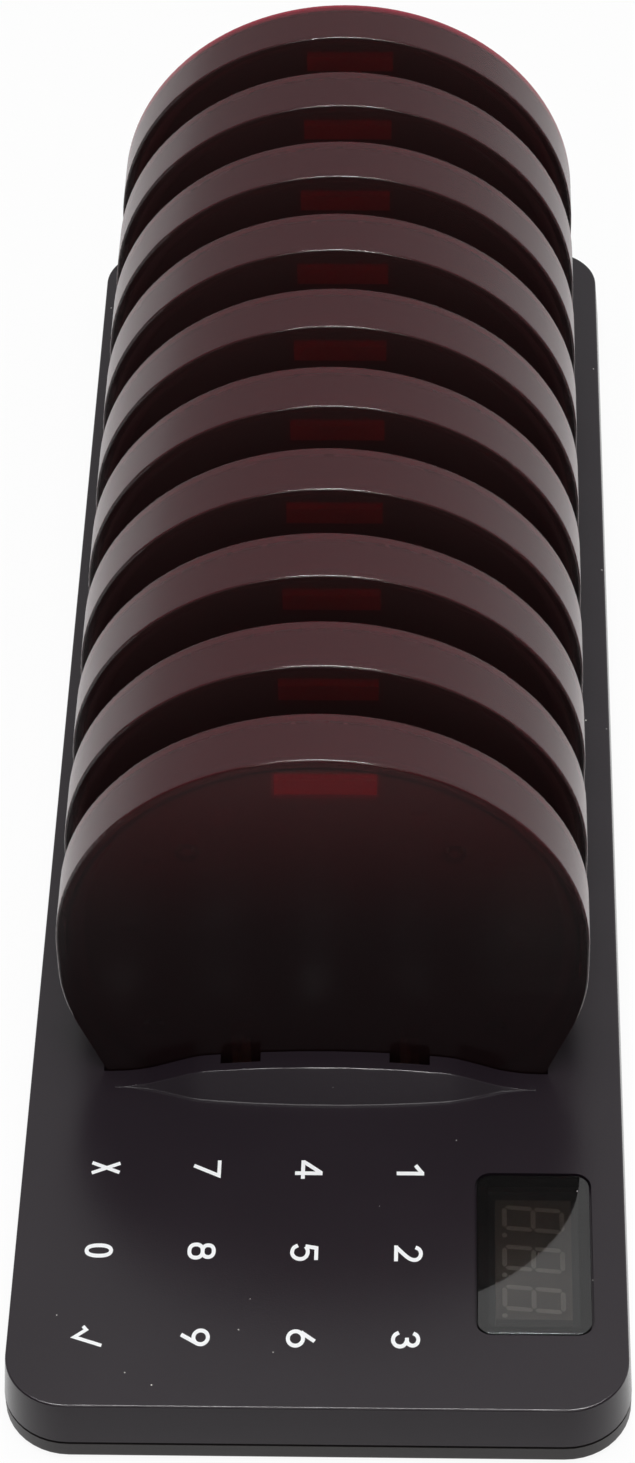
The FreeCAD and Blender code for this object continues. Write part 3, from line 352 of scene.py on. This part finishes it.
# Each stroke: its centre line in the sign's own millimetres, across and up, and whether it closes.
signs = {
    "one": ((18.28, 59.38), [([(0.85, -2.85), (0.85, 2.85)], False), ([(-1.28, 1.05), (0.72, 2.44)], False)]),
    "two": ((18.09, 38.05), [(smooth([(-1.55, 1.45), (-1.15, 2.1), (-0.4, 2.5), (0.5, 2.5), (1.3, 2.05),
                                      (1.62, 1.3), (1.4, 0.45), (0.6, -0.55), (-1.5, -2.45)]), False),
                             ([(-1.98, -2.52), (1.98, -2.52)], False)]),
    "three": ((17.80, 16.79), [(smooth([(-1.5, 1.5), (-0.95, 2.2), (0.0, 2.5), (1.0, 2.25), (1.5, 1.5),
                                        (1.25, 0.7), (0.6, 0.3), (-0.4, 0.22)]), False),
                               (smooth([(0.2, 0.24), (1.1, -0.1), (1.65, -0.7), (1.72, -1.4), (1.35, -2.1),
                                        (0.5, -2.53), (-0.4, -2.5), (-1.15, -2.1), (-1.62, -1.4)]), False)]),
    "four": ((-2.85, 59.33), [([(0.95, -2.85), (0.95, 2.85)], False), ([(-2.4, -1.2), (2.4, -1.2)], False),
                              ([(-2.05, -1.1), (0.8, 2.55)], False)]),
    "five": ((-3.20, 38.16), [([(1.95, 2.45), (-1.05, 2.45), (-1.5, 0.2)], False),
                              (smooth([(-1.4, 0.25), (-0.7, 0.62), (0.15, 0.7), (1.05, 0.42), (1.65, -0.25),
                                       (1.72, -1.1), (1.3, -1.95), (0.5, -2.45), (-0.4, -2.45), (-1.15, -2.1),
                                       (-1.66, -1.35)]), False)]),
    "six": ((-3.42, 16.95), [(oval((0.19, -0.95), (1.75, 1.53)), True),
                             ([(0.85, 2.92), (-1.36, 0.1)], False)]),
    "seven": ((-23.94, 59.31), [([(-2.2, 2.43), (1.75, 2.43), (-0.8, -2.85)], False)]),
    "eight": ((-24.27, 38.19), [(oval((0.0, 1.38), (1.48, 1.14), 2.3), True),
                                (oval((0.02, -1.11), (1.66, 1.36), 2.3), True)]),
    "nine": ((-24.48, 16.80), [(oval((0.0, 1.03), (1.68, 1.46)), True),
                               ([(1.42, 0.25), (-0.62, -2.95)], False)]),
    "cross": ((-45.15, 59.36), [([(-1.2, 2.95), (1.38, -2.9)], False), ([(1.2, 2.9), (-1.3, -2.9)], False)]),
    "zero": ((-45.30, 38.09), [(oval((0.0, 0.0), (1.31, 2.5), 2.35), True)]),
    "tick": ((-46.25, 16.80), [([(-2.45, -1.05), (-1.6, -0.35), (0.22, -2.65), (2.2, 2.95)], False)]),
}
thin_signs = {"cross": 0.92, "tick": 0.86, "seven": 0.95}


def stroke_solid(points, closed, scale, height):
    """Thin solid along a centre line, drawn with a pen that is wider across than up."""
    squeeze = pen_up / pen_across
    half = pen_up * scale / 2
    flat = [Vector((a * squeeze, u)) for a, u in points]
    count = len(flat)
    sides = []
    for index, point in enumerate(flat):
        before = flat[index - 1] if closed or index else None
        after = flat[(index + 1) % count] if closed or index < count - 1 else None
        ways = [way.normalized() for way in (point - before if before else None,
                                             after - point if after else None) if way is not None]
        way = (ways[0] + ways[-1]).normalized()
        reach = half / max(way.dot(ways[0]), sharpest_mitre)
        side = Vector((-way.y, way.x)) * reach
        sides.append((point + side, point - side))
    made = bmesh.new()
    rings = []
    for one, other in sides:
        ring = []
        for corner, level in ((one, 0.0), (other, 0.0), (other, height), (one, height)):
            ring.append(made.verts.new((corner.x / squeeze, corner.y, level)))
        rings.append(ring)
    spans = count if closed else count - 1
    for index in range(spans):
        one, two = rings[index], rings[(index + 1) % count]
        for k in range(4):
            made.faces.new((one[k], one[(k + 1) % 4], two[(k + 1) % 4], two[k]))
    if not closed:
        made.faces.new(rings[0])
        made.faces.new(list(reversed(rings[-1])))
    bmesh.ops.recalc_face_normals(made, faces=made.faces)
    return made


def link_mesh(name, made, material):
    """Turns a bmesh into an object in the scene."""
    mesh = bpy.data.meshes.new(name)
    made.to_mesh(mesh)
    made.free()
    mesh.materials.append(material)
    piece = bpy.data.objects.new(name, mesh)
    bpy.context.scene.collection.objects.link(piece)
    return piece


def join_solids(piece, others):
    """Unites overlapping solids into one clean skin."""
    if not others:
        return piece
    for other in others:
        union = piece.modifiers.new("join", "BOOLEAN")
        union.operation = "UNION"
        union.solver = "EXACT"
        union.object = other
    graph = bpy.context.evaluated_depsgraph_get()
    mesh = bpy.data.meshes.new_from_object(piece.evaluated_get(graph))
    piece.modifiers.clear()
    piece.data = mesh
    for other in others:
        bpy.data.objects.remove(other)
    return piece


ink = plastic("white_ink", (0.86, 0.87, 0.88), 0.55, pits=5000.0, depth=0.08, variation=0.03)
front_edge = -178.5
step_between_strokes = 0.1
for sign, ((x, y), strokes) in signs.items():
    solids = []
    for number, (points, closed) in enumerate(strokes):
        height = ink_thickness * (1 + step_between_strokes * number)
        made = stroke_solid(points, closed, thin_signs.get(sign, 1.0), height)
        solids.append(link_mesh("legend_%s%s" % (sign, "_%d" % number if number else ""), made, ink))
    bpy.context.view_layer.update()
    piece = join_solids(solids[0], solids[1:])
    piece.data.transform(Matrix.Rotation(-math.pi / 2, 4, "Z"))
    piece.data.transform(Matrix.Translation((x, front_edge + y, keypad_top)))
    piece.data.transform(Matrix.Scale(mm, 4))
    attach(piece, "base")


# ==== Display =======================================================================================
# A three-digit module on the control board behind a smoked acrylic window that sits in a recess.
# The segments are milky resin in pockets of the module's face, and unlit.
def clear_plastic(name, tint, roughness, ior=1.49, clear=1.0, depth=0.0, dust=0.0, dress=None, body=None):
    """Tinted clear plastic. Clear is the share of light that passes rather than scatters, dress a function
    that changes tone and roughness over the piece, and body the colour and density with which thick
    plastic swallows light."""
    made, tree = empty_material(name)
    grain = put(tree, "ShaderNodeGroup", {"node_tree": grain_group})
    cloud = grain.outputs["Cloud"]
    tone = blend_colours(tree, cloud, [c * 0.94 for c in tint], [c * 1.06 for c in tint])
    rough = spread(tree, cloud, roughness * 0.9, roughness * 1.1)
    glow = {}
    if dress:
        tone, rough, glow = dress(tree, tone, rough)
    if dust:
        specks = put(tree, "ShaderNodeGroup", {"node_tree": dust_group}, Share=dust)
        tone = blend_colours(tree, specks.outputs["Mask"], tone, dust_colour)
    bump = put(tree, "ShaderNodeBump", Strength=depth, Distance=grain_depth, Height=grain.outputs["Height"])
    shader = put(tree, "ShaderNodeBsdfPrincipled", Base_Color=tone, Roughness=rough, IOR=ior,
                 Transmission_Weight=clear, Normal=bump.outputs[0], **glow)
    output = put(tree, "ShaderNodeOutputMaterial")
    tree.links.new(shader.outputs[0], output.inputs["Surface"])
    if body:
        colour, density = body
        inside = put(tree, "ShaderNodeVolumeAbsorption", Color=(*colour, 1.0), Density=density)
        tree.links.new(inside.outputs[0], output.inputs["Volume"])
    return made


smoke_tint = (0.250, 0.255, 0.255)
# Painted shade: the pane is painted darker towards its rear, where the pagers shade the display.
pane_painted_shade_tint = (0.165, 0.160, 0.155)
pane_painted_shade_span = (-0.147, -0.130)


def paint_shade_on_pane(tree, tone, rough):
    """Darkens the pane towards its rear, a painted shade where the pagers shade the display."""
    place = put(tree, "ShaderNodeSeparateXYZ", Vector=put(tree, "ShaderNodeTexCoord").outputs["Object"])
    rear = ramp(tree, place.outputs[1], *pane_painted_shade_span)
    return blend_colours(tree, rear, tone, pane_painted_shade_tint), rough, {}


pane = clear_plastic("smoked_acrylic", smoke_tint, 0.02, ior=1.56, clear=0.975, dust=0.04, dress=paint_shade_on_pane)
finish_node("display_window", pane)
finish_node("display_module", plastic("display_block", (0.29, 0.21, 0.165), 0.5))
finish_node("display_segments", plastic("milky_resin", (0.88, 0.75, 0.65), 0.4, variation=0.06))


# ==== Boards and wires inside the base ==============================================================
# Glass-fibre boards with green resist, moulded black parts, foam pads under the keys, a tinned radio
# module with its wire aerial, and a white ribbon cable between the boards.
def metal(name, colour, roughness, depth=0.04):
    """Bare or plated metal with a faint change of tone and gloss."""
    made, tree = empty_material(name)
    grain = put(tree, "ShaderNodeGroup", {"node_tree": grain_group}, Cloud_per_Metre=260.0)
    cloud = grain.outputs["Cloud"]
    tone = blend_colours(tree, cloud, [c * 0.85 for c in colour], [min(c * 1.12, 1.0) for c in colour])
    rough = spread(tree, cloud, roughness * 0.8, roughness * 1.25)
    bump = put(tree, "ShaderNodeBump", Strength=depth, Distance=grain_depth, Height=grain.outputs["Height"])
    shader = put(tree, "ShaderNodeBsdfPrincipled", Base_Color=tone, Metallic=1.0, Roughness=rough,
                 Normal=bump.outputs[0])
    tree.links.new(shader.outputs[0], put(tree, "ShaderNodeOutputMaterial").inputs["Surface"])
    return made


resist = plastic("green_resist", (0.012, 0.075, 0.032), 0.34, variation=0.25)
black_part = plastic("moulded_black", (0.014, 0.014, 0.015), 0.45)
zinc = metal("zinc_plate", (0.56, 0.56, 0.55), 0.34)
tin = metal("tin_plate", (0.66, 0.65, 0.63), 0.3)
bronze = metal("spring_bronze", (0.72, 0.56, 0.38), 0.42)
rubber = plastic("black_rubber", (0.016, 0.016, 0.016), 0.72, depth=0.3)
finish_node("control_board", plastic("black_resist", (0.009, 0.009, 0.010), 0.34, variation=0.25))
finish_node("charging_board", resist)
for name in ("housing_screws", "board_screws"):
    finish_node(name, zinc)
for name in ("control_board_parts", "radio_module", "power_inlet", "power_switch_slider"):
    finish_node(name, black_part)
finish_node("power_switch_body", tin)
finish_node("antenna_wire", plastic("wire_sleeve", (0.02, 0.02, 0.021), 0.4))
finish_node("touch_pads", plastic("dark_foam", (0.035, 0.035, 0.036), 0.9, pits=1400.0, depth=0.8))
finish_node("ribbon_cable", plastic("ribbon_white", (0.62, 0.61, 0.58), 0.5))
finish_node("charging_contacts", bronze)
finish_node("rubber_feet", rubber)


# ==== Pagers ========================================================================================
# Ten round pagers in dark red clear plastic: a cup with a polished face and a satin rim, closed from behind
# by a cover with four screws. Inside is a board with a battery, a buzzer, a small motor in a rubber cradle,
# lights and a bright light window.
def blend_values(tree, share, first, second):
    """Mixes two values by a mask."""
    made = put(tree, "ShaderNodeMix", {"data_type": "FLOAT"})
    for socket, value in zip(made.inputs, (share, None, first, second)):
        if isinstance(value, bpy.types.NodeSocket):
            tree.links.new(value, socket)
        elif value is not None:
            socket.default_value = value
    return made.outputs[0]


pager_count = 10
pager_pitch = 26.05
face_tint = (0.105, 0.042, 0.047)
# Painted light: the face is painted lighter and redder towards its top, where light falls on it from above.
face_top_painted_light = (0.40, 0.050, 0.060)
# Painted shade and painted reflection: the face top of the pagers behind the first is painted darker and
# greyer.
face_top_painted_light_behind = (0.34, 0.16, 0.16)
rim_tint = (0.50, 0.075, 0.11)
rim_roughness = 0.26
edge_roughness = 0.15
back_edge_tint = (0.95, 0.05, 0.13)
window_tint = (0.78, 0.02, 0.05)
# Painted shade and painted reflection: the windows of the pagers behind the first are painted darker and
# greyer.
window_painted_shade_behind = (0.41, 0.13, 0.135)
# Painted glow: a crimson emission on the last pager's back edge stands in for red light shining through from
# behind.
painted_back_glow = (0.13, 0.007, 0.020)
# Places on a disc in metres, in the frame's own X, Y and Z.
disc_middle = 0.0553
disc_top = 0.110
disc_radius = disc_top / 2
# Heights on the face over which its painted light rises.
disc_lean = 0.0305
face_painted_light_heights = (0.055, 0.110)
film_edge = 0.0527
film_line = 0.00028
window_middle = (0.0013, 0.1030)
window_half = (0.0106, 0.0033)
first_pager_ends = -0.070
last_pager_back = 0.15778
glow_width = 0.0017
glow_fade = 0.0022
glow_starts = disc_radius - 0.0008
glow_rises = (disc_middle, 0.099)
# How squarely the skin faces the front or back, from 0 to 1, where the side ends and where its edge shows.
side_ends = (0.25, 0.85)
edge_shows = (0.02, 0.12)


def within(tree, distance, reach, softness):
    """1 where a distance is below a reach, fading to 0 over the softness."""
    over = reckon(tree, "DIVIDE", reckon(tree, "SUBTRACT", reach, distance), softness)
    return reckon(tree, "ADD", over, 0.5, clamp=True)


# Parts of a pager's disc: its side, the thin polished edge between the side and a face, the open window in
# the dark film behind the face, the line where the film ends, the back, the height up the face, for a painted
# light that makes the face lighter towards its top, the pagers behind the first, painted darker and greyer as
# painted shade and painted reflection, and the back edge of the last, with a painted glow that stands in for
# red light from behind.
disc_group, given, result = new_group("disc_parts", [("Softness", 0.0007)], [
    "Side", "Edge", "Window", "Film Line", "Back", "Height", "Behind", "Painted Glow"])
softness = given.outputs["Softness"]
place = put(disc_group, "ShaderNodeTexCoord")
facing = put(disc_group, "ShaderNodeSeparateXYZ", Vector=place.outputs["Normal"])
at_x, at_y, at_z = put(disc_group, "ShaderNodeSeparateXYZ", Vector=place.outputs["Object"]).outputs
behind = reckon(disc_group, "GREATER_THAN", at_y, first_pager_ends)
softness = reckon(disc_group, "MULTIPLY_ADD", behind, softness, softness)
square = reckon(disc_group, "POWER", reckon(disc_group, "ABSOLUTE", facing.outputs[1]), 2.0)
slanted = reckon(disc_group, "SUBTRACT", 1.0, square)
side = reckon(disc_group, "SUBTRACT", 1.0, ramp(disc_group, square, *side_ends))
edge = ramp(disc_group, reckon(disc_group, "MULTIPLY", square, slanted), *edge_shows)
across = reckon(disc_group, "ABSOLUTE", reckon(disc_group, "SUBTRACT", at_x, window_middle[0]))
up = reckon(disc_group, "ABSOLUTE", reckon(disc_group, "SUBTRACT", at_z, window_middle[1]))
opening = reckon(disc_group, "MULTIPLY", within(disc_group, across, window_half[0], softness),
                 within(disc_group, up, window_half[1], softness))
height = reckon(disc_group, "SUBTRACT", at_z, disc_middle)
radius = reckon(disc_group, "SQRT", reckon(disc_group, "MULTIPLY_ADD", height, height,
                                           reckon(disc_group, "MULTIPLY", at_x, at_x)))
from_line = reckon(disc_group, "ABSOLUTE", reckon(disc_group, "SUBTRACT", radius, film_edge))
back_plane = reckon(disc_group, "MULTIPLY_ADD", at_z, disc_lean, last_pager_back - disc_top * disc_lean)
from_back = reckon(disc_group, "SUBTRACT", back_plane, at_y)
glow = reckon(disc_group, "MULTIPLY", within(disc_group, from_back, glow_width, glow_fade),
              ramp(disc_group, radius, film_edge, glow_starts))
glow = reckon(disc_group, "MULTIPLY", glow, ramp(disc_group, at_z, *glow_rises))
disc_parts = {
    "Side": side,
    "Edge": edge,
    "Window": opening,
    "Film Line": within(disc_group, from_line, film_line, softness),
    "Back": reckon(disc_group, "GREATER_THAN", facing.outputs[1], 0.5),
    "Height": ramp(disc_group, at_z, *face_painted_light_heights),
    "Behind": behind,
    "Painted Glow": glow,
}
for label, value in disc_parts.items():
    disc_group.links.new(value, result.inputs[label])


def dress_disc(tree, tone, rough):
    """Tints a pager's front shell by the parts of its disc, with painted light on the face's upper part,
    painted shade and reflection on the pagers behind the first, and a painted glow on the last one's back
    edge.
    """
    parts = put(tree, "ShaderNodeGroup", {"node_tree": disc_group}).outputs
    # Painted shade and painted reflection: the pagers behind the first take darker, greyer colours.
    window = blend_colours(tree, parts["Behind"], window_tint, window_painted_shade_behind)
    top = blend_colours(tree, parts["Behind"], face_top_painted_light, face_top_painted_light_behind)
    line = blend_colours(tree, parts["Behind"], [c * 0.5 for c in face_tint], face_top_painted_light_behind)
    # Painted light: the face is painted lighter towards its top.
    tone = blend_colours(tree, parts["Height"], tone, top)
    tone = blend_colours(tree, parts["Film Line"], tone, line)
    tone = blend_colours(tree, parts["Window"], tone, window)
    tone = blend_colours(tree, parts["Side"], tone, rim_tint)
    tone = blend_colours(tree, parts["Back"], tone, back_edge_tint)
    rough = blend_values(tree, parts["Side"], rough, rim_roughness)
    rough = blend_values(tree, parts["Edge"], rough, edge_roughness)
    # Painted glow: the last pager's back edge glows crimson where red light would pass through from behind.
    light = blend_colours(tree, parts["Painted Glow"], (0.0, 0.0, 0.0), painted_back_glow)
    return tone, rough, {"Emission_Color": light, "Emission_Strength": 1.0}


body_colour = (0.42, 0.05, 0.08)
cover_tint = (0.26, 0.035, 0.050)
shell = clear_plastic("dark_red_shell", face_tint, 0.24, ior=1.36, clear=0.93, depth=0.03, dust=0.25,
                      dress=dress_disc, body=(body_colour, 800.0))
cover = clear_plastic("dark_red_cover", cover_tint, 0.30, ior=1.36, clear=0.82, depth=0.03,
                      body=(body_colour, 2000.0))
# The red light window is painted darker on its faces that look up, a painted shade.
light_window = plastic("red_light_window", (0.90, 0.07, 0.09), 0.35, upper=0.6)
lamp_body = plastic("lamp_body", (0.05, 0.045, 0.04), 0.4)
battery_wrap = plastic("battery_wrap", (0.30, 0.31, 0.33), 0.35)
finishes = [resist, light_window, lamp_body, battery_wrap, black_part, tin, bronze, zinc, rubber]


def islands(mesh):
    """The mesh's solids, each as the list of its faces. Corners at one place count as one."""
    leader = {}

    def find(key):
        while leader.setdefault(key, key) != key:
            leader[key] = leader[leader[key]]
            key = leader[key]
        return key

    keys = [tuple(round(c * 1e6) for c in v.co) for v in mesh.vertices]
    for face in mesh.polygons:
        first = find(keys[face.vertices[0]])
        for corner in face.vertices[1:]:
            leader[find(keys[corner])] = first
    groups = {}
    for face in mesh.polygons:
        groups.setdefault(find(keys[face.vertices[0]]), []).append(face.index)
    return list(groups.values())


# Widths in millimetres that tell the solids of the works apart.
board_least_width = 80.0
battery_least_width = 30.0
light_window_least_width = 20.0
buzzer_least_width = 12.5
cradle_width = 7.0
cradle_top = 60.0
lamp_width = 3.5
lamp_least_height = 3.0
screw_most_width = 4.2
contact_from_middle = 17.85
allowance = 0.1


def works_finish(size, middle):
    """Which finish a solid of the works takes, from its size and its middle in millimetres."""
    if size.x > board_least_width:
        return resist
    if size.x > battery_least_width:
        return battery_wrap
    if size.x > light_window_least_width:
        return light_window
    if abs(abs(middle.x) - contact_from_middle) < allowance and size.x < screw_most_width:
        return bronze
    if abs(size.x - lamp_width) < allowance and size.z > lamp_least_height:
        return lamp_body
    if size.x < screw_most_width:
        return zinc
    if abs(size.x - cradle_width) < allowance and middle.z < cradle_top:
        return rubber
    if abs(size.x - cradle_width) < allowance or size.x > buzzer_least_width:
        return black_part
    return tin


source = nodes["pager_01_works"].data
works_mesh = source.copy()
works_mesh.materials.clear()
for material in finishes:
    works_mesh.materials.append(material)
for group in islands(source):
    corners = [source.vertices[i].co / mm for face in group for i in source.polygons[face].vertices]
    low = Vector(map(min, zip(*corners)))
    high = Vector(map(max, zip(*corners)))
    index = finishes.index(works_finish(high - low, (low + high) / 2))
    for face in group:
        works_mesh.polygons[face].material_index = index
for number in range(pager_count):
    name = "pager_%02d" % (number + 1)
    finish_node(name + "_front_shell", shell)
    finish_node(name + "_rear_cover", cover)
    finish_node(name + "_motor_weight", tin)
    works = bpy.data.objects.new(name + "_inside", works_mesh)
    works.location = (0.0, number * pager_pitch * mm, 0.0)
    bpy.context.scene.collection.objects.link(works)
    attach(works, name)
    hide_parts(name + "_works")
